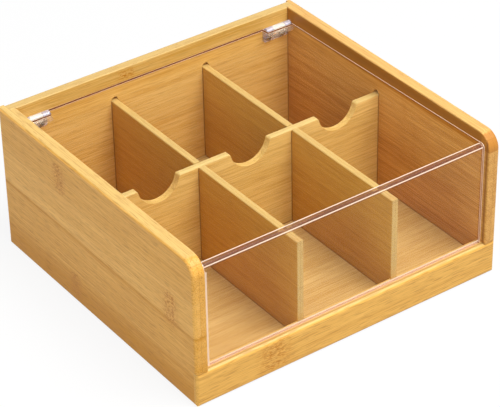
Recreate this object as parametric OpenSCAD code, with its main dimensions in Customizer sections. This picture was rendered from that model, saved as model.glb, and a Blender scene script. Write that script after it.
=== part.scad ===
// Bamboo tea bag box with six bays and a clear hinged lid.
// The box stands on z = 0, its front faces -Y and its width runs along X.

/* [Box] */
// Outside width of the box
box_w = 240; // [200:1:320]
// Outside depth of the box, front to back
box_d = 224; // [170:1:300]
// Height of the side and back panels
box_h = 108; // [85:1:150]
// Thickness of each side panel
side_t = 9; // [7:0.5:14]
// Thickness of the back panel
back_t = 8; // [7:0.5:12]
// Radius of the top front corner of each side panel
corner_r = 12; // [4:0.5:25]
// Radius of the eased outer edges
edge_r = 2.4; // [0.5:0.1:3]
// Radius of the eased inner edges
inner_edge_r = 0.8; // [0.3:0.1:1.5]
// Depth of the rebates that hold the back panel's ends
rebate_depth = 4.5; // [2:0.5:6]

/* [Front rail] */
// Height of the front rail
rail_h = 25; // [18:0.5:40]
// Thickness of the front rail
rail_t = 9; // [7:0.5:14]
// Thickness of the lips that lap over the side panels' front edges
rail_lip_t = 3; // [2:0.5:5]

/* [Floor] */
// Thickness of the floor panel
floor_t = 5; // [3:0.5:8]
// Height of the floor panel's underside above the table
floor_lift = 8; // [5:0.5:10]
// Depth of the grooves that hold the floor panel
groove_depth = 4; // [2:0.5:5]

/* [Dividers] */
// Thickness of the dividers
divider_t = 5; // [3:0.5:7]
// Headroom between the divider tops and the underside of the lid
headroom = 11; // [4:0.5:25]
// Width of the middle bays
middle_bay_w = 70; // [50:1:90]
// How far the middle bays stand to the right of the box's centre line
bay_shift = 2.5; // [-8:0.5:8]
// How far the cross divider stands behind the middle of the box
cross_shift = 3.7; // [-20:0.1:20]
// Depth of the housings in the side and back panels
housing_depth = 2.5; // [1.5:0.5:4]
// Depth of the housings in the front rail
rail_housing_depth = 1.5; // [1:0.5:3]
// Clearance on each side of a divider in its housing or lap
divider_fit = 0.1; // [0.05:0.05:0.2]
// Gap between an end let into a housing or groove and the bottom of that cut
end_gap = 0.2; // [0.1:0.05:0.4]

/* [Finger notches] */
// Width of each finger notch where its arc meets the divider's top
notch_w = 32; // [20:1:45]
// Depth of each finger notch
notch_depth = 14.5; // [6:0.5:20]
// Radius of the shoulders at a notch's lips
notch_shoulder_r = 2; // [0.5:0.5:4]
// Distance from a long divider's centre to the notch in the outer bay beside it
outer_notch_x = 34.7; // [28:0.1:40]
// How far all three notches stand to the right of those places and of the middle bay's middle
notch_shift = 1.3; // [-3:0.1:3]

/* [Lid] */
// Thickness of the acrylic sheet
lid_t = 2; // [1.5:0.5:4]
// How far the lid's top lies below the tops of the side panels at its hinges
lid_drop = 9.5; // [6:0.5:20]
// How far the lid's top climbs from the hinge axis to the front pane
lid_rise = 3.2; // [0:0.1:5]
// Gap between the lid and each side panel
lid_side_gap = 1; // [0.5:0.25:2]
// Gap between the lid's rear edge and the back panel
lid_rear_gap = 1; // [0.75:0.25:3]
// How far the lid's front pane stands behind the front of the box
pane_setback = 3.5; // [2.5:0.5:5]
// Outer radius of the bend between the lid's top and its front pane
bend_r = 3; // [2.5:0.5:8]
// Gap between the front pane's lower edge and the front rail
lid_rest_gap = 0.3; // [0.1:0.1:0.5]

/* [Hinges] */
// Width of each hinge along its pin
hinge_w = 20.5; // [14:0.5:30]
// Gap between a hinge and the side panel beside it
hinge_inset = 1.5; // [1:0.5:10]
// Diameter of the hinge knuckles
knuckle_d = 5; // [3.5:0.25:5.5]
// Width of each of a hinge's two outer knuckles
outer_knuckle_w = 5.2; // [3:0.1:6]
// Gap between neighbouring knuckles
knuckle_gap = 0.3; // [0.2:0.05:0.5]
// Clearance between moving hinge surfaces
swing_gap = 0.5; // [0.3:0.05:1]
// Diameter of the hinge pin
pin_d = 1.5; // [1:0.1:2]
// Radial clearance round the hinge pin
pin_fit = 0.05; // [0.02:0.01:0.1]
// Thickness of the hinge leaves
leaf_t = 1.5; // [1:0.1:2]
// How far the back leaf reaches down from the hinge axis
back_leaf_drop = 10.5; // [8:0.5:12]
// How far the lid leaf reaches forward from the hinge axis
lid_leaf_reach = 6.5; // [6:0.5:14]
// Radius of the leaves' free corners
leaf_corner_r = 1.5; // [0.5:0.25:3]

/* [Hinge screws] */
// Diameter of the screw shanks
screw_d = 2; // [1.6:0.1:2.4]
// Length of a screw under its head
screw_length = 6; // [4:0.5:7]
// Diameter of the screw heads
screw_head_d = 3.8; // [3.2:0.1:4.5]
// Height of the screw heads
screw_head_h = 1.2; // [0.8:0.1:1.6]
// Radius of the screw heads' upper rim
screw_rim_r = 0.5; // [0.2:0.1:0.7]
// Width of the arms of the cross recess in a screw head
recess_w = 0.5; // [0.3:0.1:0.7]
// Span of the cross recess in a screw head
recess_span = 2; // [1.4:0.1:2.4]
// Depth of the cross recess in a screw head
recess_depth = 0.6; // [0.3:0.1:0.7]
// Distance from a hinge's end to the nearer screw
screw_inset = 4.5; // [3:0.5:6]
// Height of the screws above the back leaf's lower edge
screw_rise = 3; // [2.5:0.25:4]
// Clearance round a screw in its hole
screw_fit = 0.05; // [0.02:0.01:0.2]

/* [Hidden] */
$fn = 96;
// Overrun of a cut past the surface that it opens
over = 1;
// Overrun of the bend's arcs past the faces that they join
bite = 0.005;

inner_w = box_w - 2 * side_t;
front_y = -box_d / 2;
rail_back_y = front_y + rail_t;
back_face_y = box_d / 2 - back_t;
back_w = inner_w + 2 * rebate_depth;
floor_top = floor_lift + floor_t;
floor_w = inner_w + 2 * (groove_depth - end_gap);
floor_front_y = rail_back_y - groove_depth + end_gap;
floor_rear_y = back_face_y + groove_depth - end_gap;

lid_top = box_h - lid_drop;
lid_under = lid_top - lid_t;
lid_w = inner_w - 2 * lid_side_gap;
lid_rear_y = back_face_y - lid_rear_gap;
pane_front_y = front_y + pane_setback;
pane_foot_z = rail_h + lid_rest_gap;

divider_top = lid_under - headroom;
divider_h = divider_top - floor_top;
lap_z = floor_top + divider_h / 2;
divider_front_y = rail_back_y - rail_housing_depth + end_gap;
divider_rear_y = back_face_y + housing_depth - end_gap;
cross_w = inner_w + 2 * (housing_depth - end_gap);
divider_x = [
    bay_shift - (middle_bay_w + divider_t) / 2,
    bay_shift + (middle_bay_w + divider_t) / 2
];
notch_x = [
    divider_x[0] - outer_notch_x + notch_shift,
    bay_shift + notch_shift,
    divider_x[1] + outer_notch_x + notch_shift
];
housing_w = divider_t + 2 * divider_fit;

axis_y = back_face_y - leaf_t - knuckle_d / 2;
axis_z = lid_top - lid_t / 2;
hinge_x = inner_w / 2 - hinge_inset - hinge_w;
middle_knuckle_x = hinge_x + outer_knuckle_w + knuckle_gap;
middle_knuckle_w = hinge_w - 2 * (outer_knuckle_w + knuckle_gap);
pane_notch_y = axis_y - knuckle_d / 2 - swing_gap;
lid_slope = atan(lid_rise / (axis_y - pane_front_y));
leaf_foot_z = axis_z - back_leaf_drop;
screw_z = leaf_foot_z + screw_rise;
screw_x = [hinge_x + screw_inset, hinge_x + hinge_w - screw_inset];

bamboo = "burlywood";
pale_bamboo = "wheat";
clear_sheet = [0.85, 0.9, 0.92, 0.45];
clear_hinge = [0.92, 0.93, 0.95, 0.7];
steel = "silver";

// --- Outlines and placing -------------------------------------------------------------

// Waste outside a convex arc of radius r at a corner that stands at the origin.
module corner_waste(r) {
    if (r > 0)
        difference() {
            translate([-over, -over]) square(r + over);
            translate([r, r]) circle(r);
        }
}

// Rectangle whose corners are eased by arcs: bottom left, bottom right, top right, top left.
module eased_rect(w, h, radii) {
    difference() {
        square([w, h]);
        corner_waste(radii[0]);
        translate([w, 0]) mirror([1, 0]) corner_waste(radii[1]);
        translate([w, h]) rotate(180) corner_waste(radii[2]);
        translate([0, h]) mirror([0, 1]) corner_waste(radii[3]);
    }
}

// Stands an outline of Y across and Z up on the plane x = 0 and pushes it along +X.
module push_x(length) {
    rotate([90, 0, 90]) linear_extrude(length) children();
}

// Stands an outline of X across and Z up on the plane y = 0 and pushes it along +Y.
module push_y(length) {
    translate([0, length, 0]) rotate([90, 0, 0]) linear_extrude(length) children();
}

// Round bar or bore along +X from the origin.
module bar_x(d, length) {
    rotate([0, 90, 0]) cylinder(d = d, h = length);
}

// Round bar or bore along +Y from the origin.
module bar_y(d, length) {
    rotate([-90, 0, 0]) cylinder(d = d, h = length);
}

// A piece drawn for the right side goes to the left side as its mirror image.
module on_side(is_left) {
    mirror([is_left ? 1 : 0, 0, 0]) children();
}

// --- Cuts that hold one board in another ----------------------------------------------

// Housing for a divider's end, centred on x = 0 and cut towards +Y into a face at y = 0.
// It starts at the floor's top and ends above the divider in the round that a cutter leaves.
module divider_housing(depth) {
    translate([-housing_w / 2, -over, floor_top])
        cube([housing_w, depth + over, divider_h]);
    translate([0, -over, divider_top]) bar_y(housing_w, depth + over);
}

// Groove for an edge of the floor, run along +X and cut towards +Y into a face at y = 0.
module floor_groove(length) {
    translate([0, -over, floor_lift])
        cube([length, groove_depth + over, floor_t + divider_fit]);
}

// --- Side panels ----------------------------------------------------------------------

// Board of the right side panel, eased along its edges, with its top front corner off.
module side_board() {
    difference() {
        intersection() {
            translate([inner_w / 2, front_y, 0])
                push_y(box_d) eased_rect(side_t, box_h, [0, edge_r, edge_r, inner_edge_r]);
            translate([inner_w / 2, front_y, 0])
                linear_extrude(box_h)
                    eased_rect(side_t, box_d, [inner_edge_r, edge_r, edge_r, 0]);
        }
        translate([inner_w / 2 - over, front_y - over, box_h - corner_r])
            cube([side_t + 2 * over, corner_r + over, corner_r + over]);
    }
}

// Quarter turn that carries the eased edges round the top front corner.
module side_corner() {
    translate([inner_w / 2, front_y + corner_r, box_h - corner_r])
        rotate([0, 90, 0])
            rotate(180)
                rotate_extrude(angle = 90)
                    eased_rect(corner_r, side_t, [0, inner_edge_r, edge_r, 0]);
}

// Everything that the other boards need cut out of the right side panel.
module side_cuts() {
    groove_l = back_face_y + over - rail_back_y + groove_depth;
    // Rebate for the back panel's end
    translate([inner_w / 2 - over, back_face_y, -over])
        cube([rebate_depth + over, back_t + over, box_h + 2 * over]);
    // Notch for the front rail's lip
    translate([inner_w / 2 - over, front_y - over, -over])
        cube([side_t + 2 * over, rail_lip_t + over, rail_h + over]);
    // Groove for the floor's side edge
    translate([inner_w / 2, back_face_y + over, 0]) rotate(-90) floor_groove(groove_l);
    // Housing for the cross divider's end
    translate([inner_w / 2, cross_shift, 0]) rotate(-90) divider_housing(housing_depth);
}

module side_panel(is_left) {
    color(bamboo)
        on_side(is_left)
            difference() {
                union() {
                    side_board();
                    side_corner();
                }
                side_cuts();
            }
}

module left_side_panel() {
    side_panel(true);
}

module right_side_panel() {
    side_panel(false);
}

// --- Back, rail and floor -------------------------------------------------------------

module back_panel() {
    color(bamboo)
        difference() {
            translate([-back_w / 2, back_face_y, 0])
                push_x(back_w)
                    eased_rect(back_t, box_h, [inner_edge_r, edge_r, edge_r, inner_edge_r]);
            translate([-back_w / 2 - over, back_face_y, 0]) floor_groove(back_w + 2 * over);
            for (x = divider_x)
                translate([x, back_face_y, 0]) divider_housing(housing_depth);
            for (is_left = [false, true])
                on_side(is_left)
                    for (x = screw_x)
                        translate([x, back_face_y - over, screw_z])
                            bar_y(screw_d + 2 * screw_fit, over + screw_length - leaf_t + end_gap);
        }
}

// The rail's ends are rebated from behind, so that only thin lips cover the side panels.
module front_rail() {
    color(bamboo)
        difference() {
            intersection() {
                translate([-box_w / 2, front_y, 0])
                    push_x(box_w)
                        eased_rect(rail_t, rail_h, [edge_r, inner_edge_r, inner_edge_r, edge_r]);
                translate([-box_w / 2, front_y, 0])
                    push_y(rail_t) eased_rect(box_w, rail_h, [edge_r, edge_r, 0, 0]);
                translate([-box_w / 2, front_y, 0])
                    linear_extrude(rail_h) eased_rect(box_w, rail_t, [edge_r, edge_r, 0, 0]);
            }
            for (is_left = [false, true])
                on_side(is_left)
                    translate([inner_w / 2, front_y + rail_lip_t, -over])
                        cube([side_t + over, rail_t, rail_h + 2 * over]);
            translate([-inner_w / 2 - over, rail_back_y, 0])
                mirror([0, 1, 0]) floor_groove(inner_w + 2 * over);
            for (x = divider_x)
                translate([x, rail_back_y, 0])
                    mirror([0, 1, 0]) divider_housing(rail_housing_depth);
        }
}

module floor_panel() {
    color(pale_bamboo)
        translate([-floor_w / 2, floor_front_y, floor_lift])
            cube([floor_w, floor_rear_y - floor_front_y, floor_t]);
}

// --- Dividers -------------------------------------------------------------------------

// A long divider stands on the floor and is slotted from above for the cross divider.
module long_divider(x) {
    length = divider_rear_y - divider_front_y;
    color(pale_bamboo)
        difference() {
            translate([x - divider_t / 2, divider_front_y, floor_top])
                intersection() {
                    push_y(length)
                        eased_rect(divider_t, divider_h, [0, 0, inner_edge_r, inner_edge_r]);
                    linear_extrude(divider_h)
                        eased_rect(divider_t, length, [inner_edge_r, inner_edge_r, 0, 0]);
                }
            translate([x - divider_t / 2 - over, cross_shift - housing_w / 2, lap_z])
                cube([divider_t + 2 * over, housing_w, divider_h]);
        }
}

module left_long_divider() {
    long_divider(divider_x[0]);
}

module right_long_divider() {
    long_divider(divider_x[1]);
}

// Finger notch seen from the front: an arc with round shoulders below a top at y = 0.
module notch_outline() {
    arc_r = (pow(notch_w / 2, 2) + pow(notch_depth, 2)) / (2 * notch_depth);
    arc_y = arc_r - notch_depth;
    reach = arc_r + notch_shoulder_r;
    shoulder_x = sqrt(pow(reach, 2) - pow(arc_y + notch_shoulder_r, 2));
    meet_y = notch_shoulder_r * ((arc_y + notch_shoulder_r) / reach - 1);
    translate([0, arc_y]) circle(arc_r);
    difference() {
        translate([-shoulder_x, meet_y]) square([2 * shoulder_x, over - meet_y]);
        for (x = [-shoulder_x, shoulder_x])
            translate([x, -notch_shoulder_r]) circle(notch_shoulder_r);
    }
}

// The cross divider is slotted from below, so that it drops over the long dividers.
module cross_divider() {
    color(pale_bamboo)
        difference() {
            translate([-cross_w / 2, cross_shift - divider_t / 2, floor_top])
                push_x(cross_w)
                    eased_rect(divider_t, divider_h, [0, 0, inner_edge_r, inner_edge_r]);
            for (x = divider_x)
                translate([x - housing_w / 2, cross_shift - divider_t / 2 - over, floor_top - over])
                    cube([housing_w, divider_t + 2 * over, lap_z - floor_top + over]);
            for (x = notch_x)
                translate([x, cross_shift - divider_t / 2 - over, divider_top])
                    push_y(divider_t + 2 * over) notch_outline();
        }
}

// --- Lid ------------------------------------------------------------------------------

// Height of the sloped plane that lies the given depth square below the lid's top face.
function lid_plane_z(y, depth) =
    axis_z + (axis_y - y) * tan(lid_slope) + (lid_t / 2 - depth) / cos(lid_slope);

// Waste outside the arc of radius r between an upright front at y and the plane at that depth.
module bend_waste(y, depth, r) {
    centre = [y + r - bite, lid_plane_z(y + r, depth + r) + bite];
    up = [sin(lid_slope), cos(lid_slope)];
    corner = [y, lid_plane_z(y, depth)];
    difference() {
        polygon([
            centre, centre + (r + over) * up,
            corner + over * (up - [1, 0]), centre - [r + over, 0]
        ]);
        translate(centre) circle(r);
    }
}

// Everything behind an upright front at y and below the sloped plane at that depth.
module under_sheet(y, foot_z, rear_y, depth, r) {
    difference() {
        polygon([
            [y, foot_z], [rear_y, foot_z],
            [rear_y, lid_plane_z(rear_y, depth)], [y, lid_plane_z(y, depth)]
        ]);
        bend_waste(y, depth, r);
    }
}

// One sheet bent down at the front, seen from the side.
module lid_outline() {
    difference() {
        under_sheet(pane_front_y, pane_foot_z, lid_rear_y, 0, bend_r);
        under_sheet(pane_front_y + lid_t, pane_foot_z - over, lid_rear_y + over, lid_t, bend_r - lid_t);
    }
}

// The sheet's rear corners are cut away to clear the hinge knuckles.
module acrylic_lid() {
    color(clear_sheet)
        difference() {
            translate([-lid_w / 2, 0, 0]) push_x(lid_w) lid_outline();
            for (is_left = [false, true])
                on_side(is_left)
                    translate([hinge_x - swing_gap, pane_notch_y, lid_under - over])
                        cube([lid_w, lid_rear_y - pane_notch_y + over, lid_t + 2 * over]);
        }
}

// --- Hinges ---------------------------------------------------------------------------

// The back leaf is screwed to the back panel and carries the two outer knuckles.
module hinge_back_leaf(is_left) {
    color(clear_hinge)
        on_side(is_left)
            difference() {
                union() {
                    translate([hinge_x, back_face_y - leaf_t, leaf_foot_z])
                        push_y(leaf_t)
                            eased_rect(hinge_w, back_leaf_drop, [leaf_corner_r, leaf_corner_r, 0, 0]);
                    for (x = [hinge_x, hinge_x + hinge_w - outer_knuckle_w])
                        translate([x, axis_y, axis_z]) {
                            bar_x(knuckle_d, outer_knuckle_w);
                            translate([0, 0, -knuckle_d / 2])
                                cube([outer_knuckle_w, back_face_y - axis_y, knuckle_d / 2]);
                        }
                }
                // Room for the middle knuckle
                translate([hinge_x + outer_knuckle_w, axis_y, axis_z])
                    bar_x(knuckle_d + 2 * swing_gap, hinge_w - 2 * outer_knuckle_w);
                translate([hinge_x - over, axis_y, axis_z])
                    bar_x(pin_d + 2 * pin_fit, hinge_w + 2 * over);
                for (x = screw_x)
                    translate([x, back_face_y - leaf_t - over, screw_z])
                        bar_y(screw_d + 2 * screw_fit, leaf_t + 2 * over);
            }
}

// Tilts a piece about the hinge axis to the slope of the lid's sheet.
module on_slope() {
    translate([0, axis_y, axis_z])
        rotate([-lid_slope, 0, 0])
            translate([0, -axis_y, -axis_z]) children();
}

// The lid leaf is bonded under the lid and carries the middle knuckle.
module hinge_lid_leaf(is_left) {
    leaf_y = axis_y - lid_leaf_reach;
    color(clear_hinge)
        on_side(is_left)
            difference() {
                union() {
                    on_slope() {
                        translate([hinge_x, leaf_y, lid_under - leaf_t])
                            linear_extrude(leaf_t)
                                eased_rect(
                                    hinge_w, pane_notch_y - leaf_y, [leaf_corner_r, leaf_corner_r, 0, 0]
                                );
                        translate([middle_knuckle_x, pane_notch_y, lid_under - leaf_t])
                            cube([middle_knuckle_w, axis_y - pane_notch_y, leaf_t]);
                    }
                    translate([middle_knuckle_x, axis_y, axis_z]) bar_x(knuckle_d, middle_knuckle_w);
                }
                translate([middle_knuckle_x - over, axis_y, axis_z])
                    bar_x(pin_d + 2 * pin_fit, middle_knuckle_w + 2 * over);
            }
}

module hinge_pin(is_left) {
    color(steel)
        on_side(is_left)
            translate([hinge_x, axis_y, axis_z]) bar_x(pin_d, hinge_w);
}

module left_hinge_back_leaf() {
    hinge_back_leaf(true);
}

module right_hinge_back_leaf() {
    hinge_back_leaf(false);
}

module left_hinge_lid_leaf() {
    hinge_lid_leaf(true);
}

module right_hinge_lid_leaf() {
    hinge_lid_leaf(false);
}

module left_hinge_pin() {
    hinge_pin(true);
}

module right_hinge_pin() {
    hinge_pin(false);
}

// Wood screw along +Z, with the underside of its pan head on z = 0.
module wood_screw() {
    tip_h = screw_d;
    difference() {
        union() {
            translate([0, 0, -screw_head_h])
                rotate_extrude()
                    eased_rect(screw_head_d / 2, screw_head_h, [0, screw_rim_r, 0, 0]);
            cylinder(d = screw_d, h = screw_length - tip_h);
            translate([0, 0, screw_length - tip_h]) cylinder(d1 = screw_d, d2 = 0, h = tip_h);
        }
        for (turn = [0, 90])
            rotate(turn)
                translate([-recess_span / 2, -recess_w / 2, -screw_head_h - over])
                    cube([recess_span, recess_w, recess_depth + over]);
    }
}

module hinge_screws() {
    color(steel)
        for (is_left = [false, true])
            on_side(is_left)
                for (x = screw_x)
                    translate([x, back_face_y - leaf_t, screw_z])
                        rotate([-90, 0, 0]) wood_screw();
}

left_side_panel();
right_side_panel();
back_panel();
front_rail();
floor_panel();
left_long_divider();
right_long_divider();
cross_divider();
acrylic_lid();
left_hinge_back_leaf();
right_hinge_back_leaf();
left_hinge_lid_leaf();
right_hinge_lid_leaf();
left_hinge_pin();
right_hinge_pin();
hinge_screws();
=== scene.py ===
"""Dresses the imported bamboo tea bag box: its boards, its clear hinged lid and its studio."""

import logging
import math
from dataclasses import dataclass, field
from enum import Enum, IntEnum
from typing import Any, Sequence, Union

import bmesh
import bpy
import numpy as np
from mathutils import Matrix, Vector


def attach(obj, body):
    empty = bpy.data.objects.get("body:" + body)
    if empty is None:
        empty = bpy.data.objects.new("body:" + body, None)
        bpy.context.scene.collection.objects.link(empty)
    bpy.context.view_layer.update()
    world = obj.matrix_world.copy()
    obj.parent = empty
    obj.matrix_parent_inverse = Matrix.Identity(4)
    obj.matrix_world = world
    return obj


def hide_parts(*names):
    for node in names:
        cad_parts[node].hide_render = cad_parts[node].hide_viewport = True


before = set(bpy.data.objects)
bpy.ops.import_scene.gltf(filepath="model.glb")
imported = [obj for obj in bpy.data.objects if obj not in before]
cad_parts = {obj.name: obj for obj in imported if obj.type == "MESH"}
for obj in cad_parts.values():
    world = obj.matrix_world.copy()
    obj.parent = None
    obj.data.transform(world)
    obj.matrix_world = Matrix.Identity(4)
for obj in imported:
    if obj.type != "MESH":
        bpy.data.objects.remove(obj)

log = logging.getLogger("tea_box")

MM = 0.001

Colour = tuple[float, float, float]
Value = Union["Sock", float, int]


def srgb(red: int, green: int, blue: int) -> Colour:
    """Turns a display colour of 0 to 255 a channel into linear light."""
    shares = (red / 255, green / 255, blue / 255)
    return tuple(s / 12.92 if s <= 0.04045 else ((s + 0.055) / 1.055) ** 2.4 for s in shares)


class Axis(Enum):
    """One of the box's own axes, as its place in a coordinate."""

    X = 0
    Y = 1
    Z = 2


# --- Shader maths ---------------------------------------------------------------------------


class Sock:
    """One value output of a node, with the arithmetic that adds Math nodes."""

    def __init__(self, tree: "Tree", output: Any) -> None:
        """Wraps an output socket.

        Args:
            tree: The tree that the socket belongs to.
            output: The Blender socket itself.
        """
        self.tree = tree
        self.output = output

    def _math(self, operation: str, *values: Value) -> "Sock":
        """Adds a Math node that works on the given values."""
        return self.tree.node("ShaderNodeMath", {"operation": operation}, dict(enumerate(values)))

    def __add__(self, other: Value) -> "Sock":
        """Sum of the two."""
        return self._math("ADD", self, other)

    def __radd__(self, other: Value) -> "Sock":
        """Sum, with a number in front."""
        return self._math("ADD", other, self)

    def __sub__(self, other: Value) -> "Sock":
        """Difference of the two."""
        return self._math("SUBTRACT", self, other)

    def __rsub__(self, other: Value) -> "Sock":
        """Difference, with a number in front."""
        return self._math("SUBTRACT", other, self)

    def __mul__(self, other: Value) -> "Sock":
        """Product of the two."""
        return self._math("MULTIPLY", self, other)

    def __rmul__(self, other: Value) -> "Sock":
        """Product, with a number in front."""
        return self._math("MULTIPLY", other, self)

    def __truediv__(self, other: Value) -> "Sock":
        """Quotient of the two."""
        return self._math("DIVIDE", self, other)

    def __abs__(self) -> "Sock":
        """Size of the value."""
        return self._math("ABSOLUTE", self)

    def floor(self) -> "Sock":
        """Whole number below the value."""
        return self._math("FLOOR", self)

    def largest(self, other: Value) -> "Sock":
        """Larger of the two."""
        return self._math("MAXIMUM", self, other)

    def step(self, low: float, high: float, start: float = 0.0, end: float = 1.0) -> "Sock":
        """Smooth change of the value over a stretch.

        Args:
            low: Value at which the change starts.
            high: Value at which the change ends.
            start: Result at and below low.
            end: Result at and above high.

        Returns:
            The changed value.
        """
        settings = {"interpolation_type": "SMOOTHSTEP"}
        values = {0: self, 1: low, 2: high, 3: start, 4: end}
        return self.tree.node("ShaderNodeMapRange", settings, values)

    def near(self, middle: float, start: float, end: float, peak: float = 1.0) -> "Sock":
        """Peak about a middle, smoothly down to 0 away from it.

        Args:
            middle: Value at which the result is highest.
            start: Distance from the middle at which the fall starts.
            end: Distance from the middle at which it ends.
            peak: Result inside the start.

        Returns:
            The height of the peak.
        """
        return abs(self - middle).step(start, end, peak, 0.0)


class Tree:
    """Builds the nodes of one material or world."""

    def __init__(self, owner: Any) -> None:
        """Empties the owner's tree.

        Args:
            owner: A material or a world.
        """
        owner.use_nodes = True
        self.nodes = owner.node_tree.nodes
        self.links = owner.node_tree.links
        self.nodes.clear()

    def node(self, kind: str, settings: dict[str, Any], inputs: dict[Any, Any],
             output: Any = 0) -> Sock:
        """Adds one node.

        Args:
            kind: Blender's name for the node's type.
            settings: The node's own properties, which are set first.
            inputs: Values or sockets by the input's name or number.
            output: Name or number of the output to hand back.

        Returns:
            The chosen output.
        """
        made = self.nodes.new(kind)
        for name, value in settings.items():
            setattr(made, name, value)
        for key, value in inputs.items():
            if isinstance(value, Sock):
                self.links.new(value.output, made.inputs[key])
            elif isinstance(value, tuple) and made.inputs[key].type == "RGBA":
                made.inputs[key].default_value = (*value, 1.0)
            else:
                made.inputs[key].default_value = value
        return Sock(self, made.outputs[output])

    def ramp(self, factor: Sock, stops: Sequence[tuple[float, Colour]]) -> Sock:
        """Colour that runs through stops.

        Args:
            factor: Place along the ramp.
            stops: Places and their colours, in order.

        Returns:
            The colour.
        """
        made = self.nodes.new("ShaderNodeValToRGB")
        elements = made.color_ramp.elements
        while len(elements) < len(stops):
            elements.new(0.5)
        for element, (place, colour) in zip(elements, stops):
            element.position = place
            element.color = (*colour, 1.0)
        self.links.new(factor.output, made.inputs[0])
        return Sock(self, made.outputs[0])

    def mix(self, factor: Value, low: Any, high: Any) -> Sock:
        """Mixes two colours.

        Args:
            factor: Share of the second colour.
            low: First colour.
            high: Second colour.

        Returns:
            The mixed colour.
        """
        return self.node(
            "ShaderNodeMix", {"data_type": "RGBA"}, {0: factor, 6: low, 7: high}, output=2)

    def sight(self) -> tuple[Sock, Sock]:
        """Asks the light path how a ray got here.

        Returns:
            1 for a ray seen directly, in a reflection or through clear plastic and 0 for
            others, and the number of matt bounces before it.
        """
        seen = self.node("ShaderNodeLightPath", {}, {}, output="Is Camera Ray")
        ways = seen.output.node.outputs
        mirror, passed = Sock(self, ways["Is Glossy Ray"]), Sock(self, ways["Is Transmission Ray"])
        return seen.largest(mirror).largest(passed), Sock(self, ways["Diffuse Depth"])

    def vector(self, x: Value, y: Value, z: Value) -> Sock:
        """Joins three values into a vector."""
        return self.node("ShaderNodeCombineXYZ", {}, {0: x, 1: y, 2: z})

    def place(self) -> tuple[Sock, Sock, Sock]:
        """The point's own coordinates on its piece, in millimetres."""
        point = self.node("ShaderNodeTexCoord", {}, {}, output="Object")
        scaled = self.node("ShaderNodeVectorMath", {"operation": "SCALE"}, {0: point, 3: 1 / MM})
        return tuple(
            self.node("ShaderNodeSeparateXYZ", {}, {0: scaled}, output=i) for i in range(3))

    def noise(self, vector: Sock, detail: float = 2.0, roughness: float = 0.5) -> Sock:
        """Cloudy noise of about 0 to 1 at a vector."""
        settings = {"noise_dimensions": "3D"}
        values = {"Vector": vector, "Scale": 1.0, "Detail": detail, "Roughness": roughness}
        return self.node("ShaderNodeTexNoise", settings, values)

    def bump(self, strength: float, rise: float, height: Sock) -> Sock:
        """Raises the surface a little where a value is high.

        Args:
            strength: Share of the rise that is shown.
            rise: Height of a full step of the value, in millimetres.
            height: The value.

        Returns:
            The direction that the raised surface faces.
        """
        values = {"Strength": strength, "Distance": rise * MM, "Height": height}
        return self.node("ShaderNodeBump", {}, values)

    def surface(self, shader: Sock, kind: str = "ShaderNodeOutputMaterial") -> None:
        """Adds the output node that takes a shader.

        Args:
            shader: The shader to show.
            kind: Blender's name for the output node's type.
        """
        end = self.nodes.new(kind)
        self.links.new(shader.output, end.inputs["Surface"])


# --- Finishes -------------------------------------------------------------------------------

# Pale wood colour for the painted highlight on the boards' tops and cut ends.
PAINTED_LIGHT_WOOD = srgb(204, 180, 116)
KNOT_WOOD = srgb(188, 116, 0)
# Dark brown for the seams, glue lines, fibre dashes and end grain, and for the painted shade lines.
DARK_WOOD_AND_SHADE = srgb(132, 76, 22)


@dataclass(frozen=True)
class Mark:
    """A cane's own knot that crosses one strip of a board.

    Attributes:
        along: Middle of the mark along the grain, in millimetres.
        across: Middle of its strip across the grain, in millimetres.
        width: Width across the grain, in millimetres.
        length: Length along the grain, in millimetres.
        depth: How dark it is, from 0 to 1.
    """

    along: float
    across: float
    width: float = 24.0
    length: float = 8.0
    depth: float = 0.5


@dataclass(frozen=True)
class Band:
    """A strip that is deeper in colour than its neighbours, from the strips' own tone or as painted
    shade.

    Attributes:
        low: Its lower edge across the grain, in millimetres.
        high: Its upper edge across the grain, in millimetres.
        depth: How much deeper it is, from 0 to 1; below 0 it is paler.
        soft: Half of the width over which each side fades, in millimetres.
    """

    low: float
    high: float
    depth: float
    soft: float = 0.6


@dataclass(frozen=True)
class PaintedShade:
    """Painted shade: a fine dark line where another board meets this one, or where a nearby part
    would shade it.

    Attributes:
        axis: Axis on which the line has its place.
        places: Places of the lines on that axis, in millimetres.
        within: Axes and the lowest and highest places that the line keeps to, in millimetres.
        width: Half of a line's width, in millimetres.
        depth: How dark it is, from 0 to 1.
    """

    axis: Axis
    places: tuple[float, ...]
    within: tuple[tuple[Axis, float, float], ...] = ()
    width: float = 0.8
    depth: float = 0.7

    def shade(self, point: Sequence["Sock"]) -> "Sock":
        """Darkness of the painted shade lines at a point.

        Args:
            point: The point's x, y and z.

        Returns:
            How dark the point is, 0 away from the lines.
        """
        total = point[0] * 0.0
        for place in self.places:
            total = total.largest(point[self.axis.value].near(place, 0.0, self.width, self.depth))
        for axis, low, high in self.within:
            middle, half = (low + high) / 2, (high - low) / 2
            total = total * point[axis.value].near(middle, half - 0.2, half + 0.2)
        return total


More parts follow.
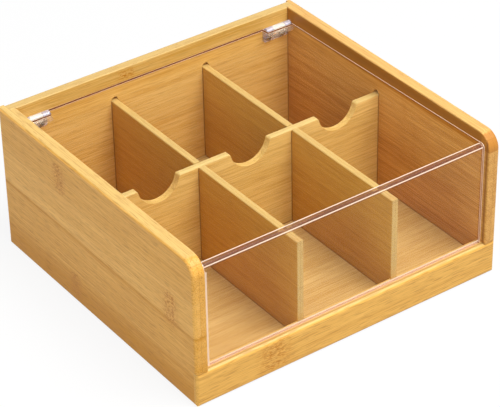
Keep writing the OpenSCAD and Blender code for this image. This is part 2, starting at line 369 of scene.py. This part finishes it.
@dataclass(frozen=True)
class Bamboo:
    """Satin laminated bamboo for one board.

    Attributes:
        along: Axis that the fibres follow.
        across: Axis that the strips lie side by side on.
        start: A seam between two strips, in millimetres on the across axis.
        strip: Width of a strip, in millimetres.
        layer_at: Glue line between two layers, in millimetres on the third axis.
        layer: Thickness of a layer, in millimetres.
        ends: Lowest and highest place along the grain, where end grain shows, in millimetres.
        dark: Colour of the darkest streaks.
        light: Colour of the lightest streaks.
        seed: Number that gives the board its own pattern.
        tone: How far strips differ in colour, from 0 to 1.
        knots: How dark the chance knots are, from 0 to 1.
        seam: How dark the joint between strips is, from 0 to 1.
        grit: How dark the short dashes are, from 0 to 1.
        lit_ends: How far the cut ends are painted paler than the faces, a painted highlight where
            they face the light, from 0 to 1.
        top_light: How far the top is painted paler than the faces, a painted highlight of the light
            from above, from 0 to 1.
        marks: Knots at chosen places.
        bands: Strips of a deeper or paler colour, from the strips' own tone or as painted shade.
        joints: Dark lines of painted shade along the corners with other boards and where nearby
            parts would shade the board.
        crown: Height of the board's top, which is painted paler as lit from above, in millimetres.
    """

    along: Axis
    across: Axis
    start: float
    strip: float
    layer_at: float
    layer: float
    ends: tuple[float, float]
    dark: Colour = srgb(203, 145, 53)
    light: Colour = srgb(236, 184, 92)
    seed: float = 0.0
    tone: float = 0.22
    knots: float = 0.25
    seam: float = 0.2
    grit: float = 0.2
    lit_ends: float = 0.0
    top_light: float = 0.6
    marks: tuple[Mark, ...] = ()
    bands: tuple[Band, ...] = ()
    joints: tuple[PaintedShade, ...] = ()
    crown: float = 108.0

    def material(self, name: str) -> bpy.types.Material:
        """Makes the board's material.

        Args:
            name: The material's name.

        Returns:
            A material that reads the board's own coordinates.
        """
        made = bpy.data.materials.new(name)
        tree = Tree(made)
        point = tree.place()
        third = next(axis for axis in Axis if axis not in (self.along, self.across))
        along, through = point[self.along.value], point[third.value]
        slow = tree.vector(along * 0.012 + self.seed, through * 0.03, self.seed)
        across = point[self.across.value] + (tree.noise(slow, 1.0) - 0.5) * 0.7
        strip = (across - self.start) / self.strip
        number = strip.floor()
        sheet = (through - self.layer_at) / self.layer
        layer = sheet.floor()
        own = self.chance(tree, number, layer, self.seed)
        broad, fine, dash = self.fibres(tree, along + own * 70.0, across, through)
        streak = 0.5 + (broad - 0.5) * 0.25 + (fine - 0.5) * 0.5 + (own - 0.5) * self.tone
        for band in self.bands:
            middle, half = (band.low + band.high) / 2, (band.high - band.low) / 2
            streak = streak - across.near(middle, half - band.soft, half + band.soft, band.depth)
        colour = tree.ramp(streak, ((0.0, self.dark), (1.0, self.light)))
        # Painted highlight: the board's top and its cut ends are mixed towards a pale wood colour,
        # as if lit.
        pale = point[2].step(self.crown - 1.0, self.crown - 0.2)
        middle = (self.ends[0] + self.ends[1]) / 2
        half = (self.ends[1] - self.ends[0]) / 2
        end = abs(along - middle).step(half - 0.5, half - 0.1)
        colour = tree.mix((pale * self.top_light).largest(end * self.lit_ends), colour, PAINTED_LIGHT_WOOD)
        lines = abs(strip - number - 0.5).step(0.5 - 0.4 / self.strip, 0.5) * self.seam
        glue = abs(sheet - layer - 0.5).step(0.5 - 0.35 / self.layer, 0.5) * self.seam
        knot = self.knot_shade(tree, along, across, through, number, layer)
        colour = tree.mix(knot, colour, KNOT_WOOD)
        shade = dash * self.grit + lines.largest(glue) + end * (0.03 + dash * 0.15)
        # Painted shade: dark lines in the corners where other boards meet and where nearby parts
        # would shade the board.
        for shade_line in self.joints:
            shade = shade.largest(shade_line.shade(point))
        colour = tree.mix(shade, colour, DARK_WOOD_AND_SHADE)
        rough = 0.42 + fine * 0.12 + shade * 0.2
        height = fine * 0.5 - shade - knot
        bump = tree.bump(0.3, 0.12, height)
        tree.surface(tree.node("ShaderNodeBsdfPrincipled", {}, {
            "Base Color": colour, "Roughness": rough, "Normal": bump,
            "Coat Weight": 0.08, "Coat Roughness": 0.3, "Specular IOR Level": 0.35}))
        return made

    @staticmethod
    def chance(tree: Tree, number: Sock, layer: Sock, seed: float) -> Sock:
        """Even chance value of 0 to 1 that stays the same over one strip of one layer."""
        at = tree.vector(number + 0.5, layer + 0.5, seed)
        settings = {"noise_dimensions": "3D"}
        return tree.node("ShaderNodeTexWhiteNoise", settings, {"Vector": at}, output="Value")

    def fibres(self, tree: Tree, along: Sock, across: Sock,
               through: Sock) -> tuple[Sock, Sock, Sock]:
        """Makes the three sizes of fibre.

        Args:
            tree: The material's tree.
            along: Place along the grain.
            across: Place across the grain.
            through: Place through the board.

        Returns:
            Broad streaks, fine streaks and the short dark dashes, each 0 to 1.
        """
        broad, fine, dash = (
            tree.noise(
                tree.vector(along * length, across * width, through * width + self.seed), *rest)
            for length, width, *rest in ((0.006, 0.22), (0.022, 1.6, 2.0, 0.55), (0.09, 1.8, 1.0)))
        return broad.step(0.25, 0.75), fine.step(0.34, 0.66), dash.step(0.54, 0.66)

    def knot_shade(self, tree: Tree, along: Sock, across: Sock, through: Sock, number: Sock,
                   layer: Sock) -> Sock:
        """Darkness of the knots, which are loose rows of dark dots.

        Args:
            tree: The material's tree.
            along: Place along the grain.
            across: Place across the grain.
            through: Place through the board.
            number: The strip's number.
            layer: The layer's number.

        Returns:
            How dark the point is, 0 where there is no knot.
        """
        at = tree.vector(along * 0.4, across * 1.1, through * 1.1 + self.seed)
        speck = tree.noise(at, 2.0, 0.6)
        dots = 0.12 + speck.step(0.47, 0.6) * 0.88
        reach = 230.0
        turn = self.chance(tree, number, layer, self.seed + 7.3) * reach
        ring = (along + turn) / reach
        far = abs(ring - ring.floor() - 0.5) * reach
        total = far.step(0.5, 5.0, 1.0, 0.0) * dots * self.knots
        for mark in self.marks:
            half = mark.width / 2
            near = along.near(mark.along, mark.length * 0.1, mark.length * 0.65)
            inside = across.near(mark.across, half - 5.0, half + 1.0)
            total = total + near * inside * dots * mark.depth
        return total


@dataclass(frozen=True)
class Clear:
    """Clear plastic that lamps shine through.

    Attributes:
        tint: Colour of light that has passed through.
        rough: Roughness of its polish.
        straight: Share of the light that passes straight through without a bend.
        low: The same share in the plate, which is clearer than the knuckles.
        plate: Axis and the place, in millimetres, below which the plate lies.
        milk: Share of the rest that scatters, as it does on a cut edge.
        smear: How far faint smears change the roughness.
        ior: Index of refraction.
    """

    tint: Colour
    rough: float
    straight: float
    milk: float = 0.0
    smear: float = 0.0
    ior: float = 1.49
    low: float = 0.0
    plate: tuple[Axis, float] = (Axis.Z, -1000.0)

    def material(self, name: str) -> bpy.types.Material:
        """Makes the clear material.

        Args:
            name: The material's name.

        Returns:
            A material that refracts, and that casts no dark shadow.
        """
        made = bpy.data.materials.new(name)
        tree = Tree(made)
        x, y, z = point = tree.place()
        cloud = tree.noise(tree.vector(x * 0.03, y * 0.03, z * 0.03), 3.0, 0.6)
        grain = tree.noise(tree.vector(x * 0.2, y * 0.2, z * 0.2), 2.0)
        rough = self.rough + cloud.step(0.45, 0.75) * self.smear
        bump = tree.bump(0.05, 0.01, grain)
        glass = tree.node("ShaderNodeBsdfPrincipled", {}, {
            "Base Color": self.tint, "Roughness": rough, "IOR": self.ior,
            "Transmission Weight": 1.0 - self.milk, "Normal": bump})
        through = tree.node("ShaderNodeBsdfTransparent", {}, {"Color": self.tint})
        axis, top = self.plate
        share = point[axis.value].step(top - 0.5, top + 0.5, self.low, self.straight)
        sight = tree.node("ShaderNodeMixShader", {}, {0: share, 1: glass, 2: through})
        shadow = tree.node("ShaderNodeLightPath", {}, {}, output="Is Shadow Ray")
        tree.surface(tree.node("ShaderNodeMixShader", {}, {0: shadow, 1: sight, 2: through}))
        return made


@dataclass(frozen=True)
class Steel:
    """Bright drawn or turned steel.

    Attributes:
        colour: Colour of its reflection.
        rough: Roughness of its polish.
    """

    colour: Colour
    rough: float

    def material(self, name: str) -> bpy.types.Material:
        """Makes the steel material.

        Args:
            name: The material's name.

        Returns:
            A metal with fine draw lines and small dull spots.
        """
        made = bpy.data.materials.new(name)
        tree = Tree(made)
        x, y, z = tree.place()
        lines = tree.noise(tree.vector(x * 0.8, y * 9.0, z * 9.0), 2.0)
        spots = tree.noise(tree.vector(x * 1.3, y * 1.3, z * 1.3), 3.0).step(0.5, 0.8)
        colour = tree.mix(spots * 0.35, self.colour, srgb(120, 116, 110))
        rough = self.rough + lines * 0.12 + spots * 0.15
        bump = tree.bump(0.15, 0.02, lines)
        tree.surface(tree.node("ShaderNodeBsdfPrincipled", {}, {
            "Base Color": colour, "Roughness": rough, "Metallic": 1.0, "Normal": bump}))
        return made


# --- Mesh building --------------------------------------------------------------------------


def skin(name: str, grid: np.ndarray, finishes: Sequence[bpy.types.Material],
         use: Union[np.ndarray, None] = None) -> bpy.types.Object:
    """Joins rings of points into one closed surface with a flat cap at each end.

    Args:
        name: The piece's name.
        grid: Points in millimetres, as rings, places round a ring, and x, y and z.
        finishes: The piece's finishes; the caps take the first one.
        use: Number of the finish of each face, as rings less one, and places round a ring.

    Returns:
        The piece, at the origin, with its faces outward.
    """
    rings, round_count = grid.shape[:2]
    number = np.arange(rings * round_count).reshape(rings, round_count)
    turned = np.roll(number, -1, axis=1)
    quads = np.stack([number[:-1], turned[:-1], turned[1:], number[1:]], axis=-1).reshape(-1, 4)
    faces = quads.tolist() + [number[0][::-1].tolist(), number[-1].tolist()]
    mesh = bpy.data.meshes.new(name)
    mesh.from_pydata((grid.reshape(-1, 3) * MM).tolist(), [], faces)
    work = bmesh.new()
    work.from_mesh(mesh)
    bmesh.ops.recalc_face_normals(work, faces=work.faces)
    work.to_mesh(mesh)
    work.free()
    mesh.shade_smooth()
    mesh.set_sharp_from_angle(angle=math.radians(38))
    for finish in finishes:
        mesh.materials.append(finish)
    if use is not None:
        number = np.append(use.reshape(-1), [0, 0]).astype(np.int32)
        mesh.polygons.foreach_set("material_index", number)
    piece = bpy.data.objects.new(name, mesh)
    bpy.context.scene.collection.objects.link(piece)
    return piece


def rounded(corners: Sequence[tuple[float, float, float]], steps: int,
            rests: Sequence[float]) -> np.ndarray:
    """Closed outline with an arc at each corner, and points just off each arc's ends.

    An arc's centre lies on the corner's bisector, the radius over the sine of half the corner
    away. A point on the arc blends its first and last spokes by the sines of the shares of the
    sweep that are left and done.

    Args:
        corners: The outline's sharp corners in order, as two places and the arc's radius.
        steps: Lengths that each arc is cut into.
        rests: Distances of the extra points from an arc's ends, where the next arc leaves room.

    Returns:
        The outline's points.
    """
    at = np.array([c[:2] for c in corners], float)
    radius = np.array([c[2] for c in corners], float)
    back = np.roll(at, 1, axis=0) - at
    ahead = np.roll(at, -1, axis=0) - at
    back /= np.linalg.norm(back, axis=1, keepdims=True)
    ahead /= np.linalg.norm(ahead, axis=1, keepdims=True)
    opening = np.arccos(np.clip((back * ahead).sum(1), -1, 1)) / 2
    reach = radius / np.tan(opening)
    bisector = (back + ahead) / np.linalg.norm(back + ahead, axis=1, keepdims=True)
    centre = at + bisector * (radius / np.sin(opening))[:, None]
    first = at + back * reach[:, None] - centre
    last = at + ahead * reach[:, None] - centre
    share = np.linspace(0, 1, steps + 1)[None, :, None]
    sweep = (math.pi - 2 * opening)[:, None, None]
    turned = np.sin((1 - share) * sweep) * first[:, None] + np.sin(share * sweep) * last[:, None]
    arc = turned / np.sin(sweep) + centre[:, None]
    off = np.array(rests)[None, :, None]
    room = np.linalg.norm(np.roll(arc[:, 0], -1, axis=0) - arc[:, -1], axis=1)[:, None, None]
    ahead_off = np.minimum(off, 0.3 * room * off / max(rests))
    back_off = np.roll(ahead_off, 1, axis=0)
    before = arc[:, :1] + back[:, None] * back_off[:, ::-1]
    after = arc[:, -1:] + ahead[:, None] * ahead_off
    return np.concatenate([before, arc, after], axis=1).reshape(-1, 2)


def dress(node: str, material: bpy.types.Material) -> None:
    """Gives a CAD node its finish."""
    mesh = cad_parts[node].data
    mesh.materials.clear()
    mesh.materials.append(material)


# --- The box --------------------------------------------------------------------------------


LONG_FACES = (-37.5, -32.5, 37.5, 42.5)
CROSS_FACES = (1.2, 6.2)
SIDE_FACES = (-111.0, 111.0)
BACK_FACE = 104.0
FLOOR_TOP = 13.0
DIVIDER_TOP = 85.5
RAIL_TOP = 25.0
INSIDE = (Axis.X, -111.6, 111.6)
# Painted shade along the corners where the dividers, the floor and the back panel meet.
LONG_PAINTED_SHADE = (PaintedShade(Axis.Y, CROSS_FACES + (BACK_FACE,), ((Axis.Z, 8, 84.8),)),
               PaintedShade(Axis.Z, (FLOOR_TOP,)))
SIDE_PAINTED_SHADE = (PaintedShade(Axis.Y, CROSS_FACES, ((Axis.Z, 8, DIVIDER_TOP), INSIDE)),
               PaintedShade(Axis.Y, (BACK_FACE,), (INSIDE,)),
               PaintedShade(Axis.Z, (FLOOR_TOP,), (INSIDE,)))
# Painted shade on the right panel's inner face: a dark strip in the gap in front of the pane's end,
# and a darker band above the lid.
RIGHT_PAINTED_SHADE = (PaintedShade(Axis.Y, (-109.6,), ((Axis.X, 110, 111.6),), 1.8, 0.75),
                PaintedShade(Axis.Z, (103.5,), ((Axis.X, 110, 111.6), (Axis.Y, -104, 104)), 7.0, 0.42))


@dataclass
class Boards:
    """The box's own boards and dividers.

    Attributes:
        boards: Finish of each board by its name in the frame.
    """

    boards: dict[str, Bamboo] = field(default_factory=lambda: {
        "left_side_panel": Bamboo(
            Axis.Y, Axis.Z, 26.0, 26.0, -115.5, 9.0, (-112.0, 112.0),
            srgb(204, 138, 10), srgb(240, 187, 99), 3.1, knots=0.0, seam=0.25, grit=0.32,
            marks=(Mark(39, 90, 26, 16, 1.0), Mark(-86, 61, 28, 17, 1.0),
                   Mark(26, 14, 24, 15, 0.85)),
            bands=(Band(-60, 19, 0.85, 17), Band(50.6, 53.4, 0.3, 1.4), Band(53, 78, -0.1)),
            joints=SIDE_PAINTED_SHADE),
        # The band above the lid on this panel is painted shade, and its dark colour is deepened so
        # that the band comes out dark.
        "right_side_panel": Bamboo(
            Axis.Y, Axis.Z, 26.0, 26.0, 115.5, 9.0, (-112.0, 112.0),
            srgb(187, 124, 42), srgb(234, 183, 102), 8.7, seam=0.25, top_light=0.25,
            bands=(Band(96, 106.8, 0.9),), joints=SIDE_PAINTED_SHADE + RIGHT_PAINTED_SHADE),
        "back_panel": Bamboo(
            Axis.X, Axis.Z, 30.0, 26.0, 108.0, 8.0, (-115.5, 115.5),
            srgb(207, 153, 58), srgb(234, 194, 118), 5.2, knots=0.0,
            marks=(Mark(-25, 102.5, 10, 16, 1.0),), bands=(Band(98.5, 107.2, 0.06),),
            # Painted shade in the corners where the dividers and the side panels meet the back
            # panel.
            joints=(PaintedShade(Axis.X, LONG_FACES, ((Axis.Z, 8, DIVIDER_TOP), (Axis.Y, 102, 104.7))),
                    PaintedShade(Axis.X, SIDE_FACES, ((Axis.Y, 102, 104.7),)))),
        "front_rail": Bamboo(
            Axis.X, Axis.Z, -0.4, 26.0, -107.5, 9.0, (-120.0, 120.0), seed=12.9, knots=0.0,
            crown=RAIL_TOP, grit=0.34, marks=(Mark(-60, 13, 25, 28, 0.85),),
            # Painted shade along the floor's corner, and a painted shadow on the ledge under the
            # pane's foot.
            joints=(PaintedShade(Axis.Z, (FLOOR_TOP,), ((Axis.Y, -104, -102),)),
                    PaintedShade(Axis.Y, (-109.4,), ((Axis.Z, 24, 26), (Axis.X, -111, 111)),
                          1.4, 0.55))),
        "floor_panel": Bamboo(
            Axis.X, Axis.Y, 0.0, 17.0, 10.5, 5.0, (-114.8, 114.8),
            srgb(185, 144, 71), srgb(214, 183, 119), 21.4, knots=0.1,
            # Painted shade along the feet of the dividers, the side panels, the rail and the back
            # panel.
            joints=(PaintedShade(Axis.X, LONG_FACES + SIDE_FACES),
                    PaintedShade(Axis.Y, CROSS_FACES + (-103.0, BACK_FACE)))),
        "left_long_divider": Bamboo(
            Axis.Y, Axis.Z, 50.0, 40.0, -35.0, 5.0, (-104.3, 106.3),
            srgb(190, 135, 42), srgb(217, 172, 82), 31.6,
            knots=0.1, joints=LONG_PAINTED_SHADE, crown=DIVIDER_TOP, lit_ends=0.6),
        "right_long_divider": Bamboo(
            Axis.Y, Axis.Z, 44.0, 40.0, 40.0, 5.0, (-104.3, 106.3),
            srgb(190, 135, 42), srgb(217, 172, 82), 37.8,
            knots=0.1, joints=LONG_PAINTED_SHADE, crown=DIVIDER_TOP, lit_ends=0.6),
        "cross_divider": Bamboo(
            Axis.X, Axis.Z, 40.0, 36.0, 3.7, 5.0, (-113.3, 113.3),
            srgb(205, 160, 75), srgb(237, 202, 124), 44.5, knots=0.1,
            # Painted shade in the corners where the long dividers and the side panels meet it, and
            # along its foot.
            joints=(PaintedShade(Axis.X, LONG_FACES + SIDE_FACES, ((Axis.Z, 8, 84.8),)),
                    PaintedShade(Axis.Z, (FLOOR_TOP,))), crown=DIVIDER_TOP),
    })

    def dress(self) -> int:
        """Gives every board its bamboo.

        Returns:
            The number of boards.
        """
        for name, finish in self.boards.items():
            dress(name, finish.material("bamboo_" + name))
        return len(self.boards)


class LidFace(IntEnum):
    """Number of each of the lid's finishes on its mesh."""

    SHEET = 0
    BEND = 1
    EDGE = 2
    CUT = 3
    PANE = 4


@dataclass
class Lid:
    """The bent clear lid with its front pane.

    Attributes:
        half_width: Half of the lid's width, in millimetres.
        axis: Place and height of the hinge axis.
        rise: Climb of the lid from the hinge axis to the pane's outer face.
        thick: Thickness of the sheet.
        front: Place of the front pane's outer face.
        foot: Height of the pane's lower edge.
        rear: Place of the rear edge between the hinges.
        rear_side: Place of the rear edge at the hinges.
        relief: Where the rear edge steps forward, from the middle.
        bend: Outer radius of the bend.
        polish: Radius of the flame-polished edges.
        arc: Lengths that each arc of the cut is made of.
        rests: Distances of the extra points from the ends of each arc.
        line: Places of the lines between the painted highlight strips at each side of the pane,
            from its end.
        sheet: Finish of the flat top sheet.
        pane: Finish of the front pane, which mirrors more of the room.
        fold: Finish of the bend, which shows what is behind it out of place; with its mauve tint it
            also paints darker lines of painted shade beside the painted highlight strips.
        edge: Milky pale finish of the polished edges and of strips on the sheet beside the bend and
            the ends, a painted highlight of the bright lines that they show.
        cut: Finish of the rear edge, which stands in its own shade.
    """

    half_width: float = 110.0
    axis: tuple[float, float] = (100.0, 97.5)
    rise: float = 3.2
    thick: float = 2.0
    front: float = -108.5
    foot: float = 25.3
    rear: float = 103.0
    rear_side: float = 97.0
    relief: float = 88.5
    bend: float = 3.0
    polish: float = 0.3
    arc: int = 12
    rests: tuple[float, ...] = (0.1, 0.9, 1.5, 2.6)
    line: tuple[float, float, float] = (2.3, 1.5, 0.7)
    sheet: Clear = Clear(srgb(248, 247, 246), 0.0, 0.0, ior=1.05)
    pane: Clear = Clear(srgb(248, 246, 246), 0.0, 0.0, ior=1.14)
    fold: Clear = Clear(srgb(216, 194, 188), 0.2, 0.6, 0.1, ior=1.3)
    # Painted highlight: a milky pale finish for the bright lines along the lid's edges and bend.
    edge: Clear = Clear(srgb(245, 224, 200), 0.3, 0.2, 0.9)
    cut: Clear = Clear(srgb(132, 70, 10), 0.3, 0.1, 0.8)

    def plane(self, place: float, depth: float) -> float:
        """Height of the sloped plane that lies a depth square below the lid's top face."""
        slope = self.rise / (self.axis[0] - self.front)
        climb = (self.axis[0] - place) * slope
        return self.axis[1] + climb + (self.thick / 2 - depth) * math.hypot(1, slope)

    def outline(self, rear: float, inset: float) -> np.ndarray:
        """The sheet's cut, as places on y and z, drawn in all round by an inset."""
        r, low = self.polish - inset, self.thick - inset
        front, inner = self.front + inset, self.front + low
        foot, back = self.foot + inset, rear - inset
        corners = [
            (back, self.plane(back, inset), r),
            (front, self.plane(front, inset), self.bend - inset),
            (front, foot, r), (inner, foot, r),
            (inner, self.plane(inner, low), self.bend - low),
            (back, self.plane(back, low), r)]
        return rounded(corners, self.arc, self.rests)

    def finish_numbers(self, rings: int, count: int) -> np.ndarray:
        """Which finish each face takes, as a number of LidFace.

        Corners 0 to 5 run from the upper rear edge over the bend, the pane's foot, its inner
        side and the inside of the bend to the lower rear edge. A corner has the faces before
        its arc, the arc, the faces after it and the flat that leads to the next corner.

        Args:
            rings: Number of rings of points.
            count: Number of points round a ring.

        Returns:
            The numbers, as rings less one, and places round a ring.
        """
        each, lead = count // 6, len(self.rests)
        after = each - lead - 1
        corner, part = np.divmod(np.arange(count), each)
        arc = (part >= lead) & (part < after)
        flat = part == each - 1
        upright = (part >= after) & np.isin(corner, (1, 3)) | (part < lead) & (corner == 4)
        around = np.where(upright, LidFace.PANE, LidFace.SHEET)
        around[arc & np.isin(corner, (1, 4))] = LidFace.BEND
        # Painted highlight on the polished arcs of the rear top edge and of the pane's foot.
        near_arc = (part >= lead - 1) & (part <= after)
        around[near_arc & np.isin(corner, (0, 2, 3))] = LidFace.EDGE
        # Two painted highlight lines along the bend, where it starts and a little before it ends.
        around[(corner == 1) & np.isin(part, (2, 3, 12, 13))] = LidFace.EDGE
        # A painted highlight strip along the lower rear edge.
        around[(corner == 5) & (part > 9) & (part <= after)] = LidFace.EDGE
        # The pane's foot: painted highlight strips with a darker line of painted shade between
        # them.
        around[corner == 2] = np.where(
            np.isin(part[corner == 2], (1, 2)), LidFace.BEND, LidFace.EDGE)
        around[(corner == 5) & (part >= after) | (corner == 0) & (part < lead)] = LidFace.CUT
        use = np.tile(around, (rings - 1, 1))
        # At both ends the faces take painted highlight strips; next to the right end one ring takes
        # the bend's finish, a darker line of painted shade.
        side = np.where((flat & (corner == 4)) | (corner == 5), around, LidFace.EDGE)
        pane = np.where((flat & np.isin(corner, (1, 3))) | (corner == 2), LidFace.EDGE, around)
        use[:5], use[5:7] = side, pane
        use[-5:], use[-6] = side, np.where(side == LidFace.EDGE, LidFace.BEND, side)
        return use

    def build(self) -> bpy.types.Object:
        """Builds the lid: its cut swept across the box, with polished edges at both ends.

        The ends are a quarter circle that draws the cut in. The rear edge steps forward at the
        hinges by the smooth step 3 t squared less 2 t cubed.

        Returns:
            The piece that stands for the CAD lid.
        """
        turn = np.linspace(math.pi / 2, 0, 5)
        drop = self.polish - 0.02
        ends = self.half_width - drop * (1 - np.sin(turn))
        insets = drop * (1 - np.cos(turn))
        step = np.linspace(-0.3, 0.3, 9)
        near = self.half_width - np.array(self.line)
        half = np.concatenate([[0.0], self.relief + step, near, ends[::-1]])
        inset = np.concatenate([np.zeros(half.size - ends.size), insets[::-1]])
        share = np.clip((half - self.relief) / 0.6 + 0.5, 0, 1)
        rears = self.rear + (self.rear_side - self.rear) * share * share * (3 - 2 * share)
        x = np.concatenate([-half[:0:-1], half])
        rear = np.concatenate([rears[:0:-1], rears])
        drawn = np.concatenate([inset[:0:-1], inset])
        grid = np.array([
            np.insert(self.outline(r, i), 0, place, axis=1) for place, r, i in zip(x, rear, drawn)])
        finishes = [
            self.sheet.material("clear_acrylic_sheet"), self.fold.material("clear_acrylic_bend"),
            self.edge.material("acrylic_edge_painted_highlight"), self.cut.material("shaded_acrylic_edge"),
            self.pane.material("clear_acrylic_pane")]
        piece = skin("clear_lid", grid, finishes, self.finish_numbers(*grid.shape[:2]))
        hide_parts("acrylic_lid")
        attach(piece, "lid")
        return piece


@dataclass
class Hinges:
    """The two clear hinges, their pins and their screws.

    Attributes:
        leaf: Finish of the moulded leaves on the back panel.
        lid_leaf: Finish of the moulded leaves on the lid, a paler and milkier copy of the leaf
            finish, painted as standing in the light.
        pin: Finish of the pins.
        screw: Finish of the screws.
    """

    leaf: Clear = Clear(
        srgb(238, 236, 246), 0.15, 0.25, 0.45, 0.1, low=0.55, plate=(Axis.Z, 95.5))
    lid_leaf: Clear = Clear(
        srgb(250, 246, 238), 0.15, 0.2, 0.5, 0.1, low=0.88, plate=(Axis.Y, 97.2))
    pin: Steel = Steel(srgb(208, 208, 206), 0.18)
    screw: Steel = Steel(srgb(198, 196, 190), 0.24)

    def dress(self) -> None:
        """Gives the leaves, pins and screws their finishes."""
        leaf = self.leaf.material("clear_moulded_leaf")
        lid_leaf = self.lid_leaf.material("bright_moulded_leaf")
        pin = self.pin.material("bright_pin")
        for side in ("left", "right"):
            dress(f"{side}_hinge_back_leaf", leaf)
            dress(f"{side}_hinge_lid_leaf", lid_leaf)
            dress(f"{side}_hinge_pin", pin)
        dress("hinge_screws", self.screw.material("bright_screw"))


# --- The studio -----------------------------------------------------------------------------


@dataclass(frozen=True)
class Lamp:
    """A square soft lamp that faces the box.

    Attributes:
        name: The lamp's name.
        place: Its place, in metres.
        size: Its side, in metres.
        power: Its power, in watts.
    """

    name: str
    place: tuple[float, float, float]
    size: float
    power: float

    def build(self) -> None:
        """Hangs the lamp."""
        data = bpy.data.lights.new(self.name, "AREA")
        data.size, data.energy = self.size, self.power
        made = bpy.data.objects.new(self.name, data)
        bpy.context.scene.collection.objects.link(made)
        made.location = self.place
        made.visible_transmission = False
        aim = Vector((0, 0, 0.05)) - Vector(self.place)
        made.rotation_euler = aim.to_track_quat("-Z", "Y").to_euler()


@dataclass
class Studio:
    """Camera, lamps, background and floor.

    Attributes:
        eye: The camera's place, in millimetres.
        right: Direction to the picture's right.
        up: Direction to the picture's top.
        forward: Direction that the camera looks in.
        lens: Focal length for a sensor 36 mm wide, in millimetres.
        fill: Strength of the even light from all round.
        paleness: How far the floor's look is its own white and not its shading, from 0 to 1.
        white: Strength of the floor's own white.
        reach: Half of the floor's side, in metres.
        lamps: The lamps.
    """

    eye: tuple[float, float, float] = (-718.357, -1017.245, 882.784)
    right: tuple[float, float, float] = (0.80972613, -0.58658577, -0.01614694)
    up: tuple[float, float, float] = (0.33893097, 0.44504526, 0.82889113)
    forward: tuple[float, float, float] = (0.47902963, 0.67664751, -0.55917686)
    lens: float = 163.058
    fill: float = 0.45
    paleness: float = 0.8
    white: float = 1.11
    reach: float = 6.0
    lamps: tuple[Lamp, ...] = (Lamp("key_lamp", (0.35, -1.0, 2.13), 1.4, 73.0),
                               Lamp("side_lamp", (-2.0, -0.5, 0.45), 1.0, 10.0))

    def camera(self) -> None:
        """Places the camera."""
        data = bpy.data.cameras.new("camera")
        data.sensor_width = 36.0
        data.lens = self.lens
        data.clip_start, data.clip_end = 0.01, 20.0
        made = bpy.data.objects.new("camera", data)
        bpy.context.scene.collection.objects.link(made)
        turn = Matrix((self.right, self.up, tuple(-v for v in self.forward))).transposed().to_4x4()
        made.matrix_world = Matrix.Translation(Vector(self.eye) * MM) @ turn
        bpy.context.scene.camera = made

    def background(self) -> None:
        """Makes a white background with an even fill light behind it."""
        world = bpy.data.worlds.new("studio")
        bpy.context.scene.world = world
        tree = Tree(world)
        seen, deep = tree.sight()
        bright = seen * deep.step(0.0, 1.0, 1.0, 0.0)
        strength = bright * (1.0 - self.fill) + self.fill
        values = {"Color": (1.0, 1.0, 1.0), "Strength": strength}
        tree.surface(tree.node("ShaderNodeBackground", {}, values), "ShaderNodeOutputWorld")

    def floor(self) -> None:
        """Lays a plain pale floor under the box."""
        made = bpy.data.materials.new("pale_floor")
        tree = Tree(made)
        matt = tree.node("ShaderNodeBsdfDiffuse", {}, {"Color": (0.4, 0.4, 0.4)})
        glow = {"Color": (1.0, 1.0, 1.0), "Strength": self.white}
        plain = tree.node("ShaderNodeEmission", {}, glow)
        share = tree.sight()[0] * self.paleness
        tree.surface(tree.node("ShaderNodeMixShader", {}, {0: share, 1: matt, 2: plain}))
        mesh = bpy.data.meshes.new("studio_floor")
        far = self.reach
        corners = [(-far, -far, 0), (far, -far, 0), (far, far, 0), (-far, far, 0)]
        mesh.from_pydata(corners, [], [(0, 1, 2, 3)])
        mesh.materials.append(made)
        piece = bpy.data.objects.new("studio_floor", mesh)
        bpy.context.scene.collection.objects.link(piece)

    def build(self) -> None:
        """Builds the whole studio."""
        bpy.context.scene.view_settings.view_transform = "Standard"
        self.camera()
        self.background()
        self.floor()
        for lamp in self.lamps:
            lamp.build()


def main() -> None:
    """Dresses the frame piece by piece and reports each one."""
    logging.basicConfig(level=logging.INFO, format="%(name)s: %(message)s")
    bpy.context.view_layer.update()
    Studio().build()
    log.info("studio is lit")
    log.info("%d boards are dressed", Boards().dress())
    log.info("%s is built", Lid().build().name)
    Hinges().dress()
    log.info("hinges are dressed")


if __name__ == "__main__":
    main()
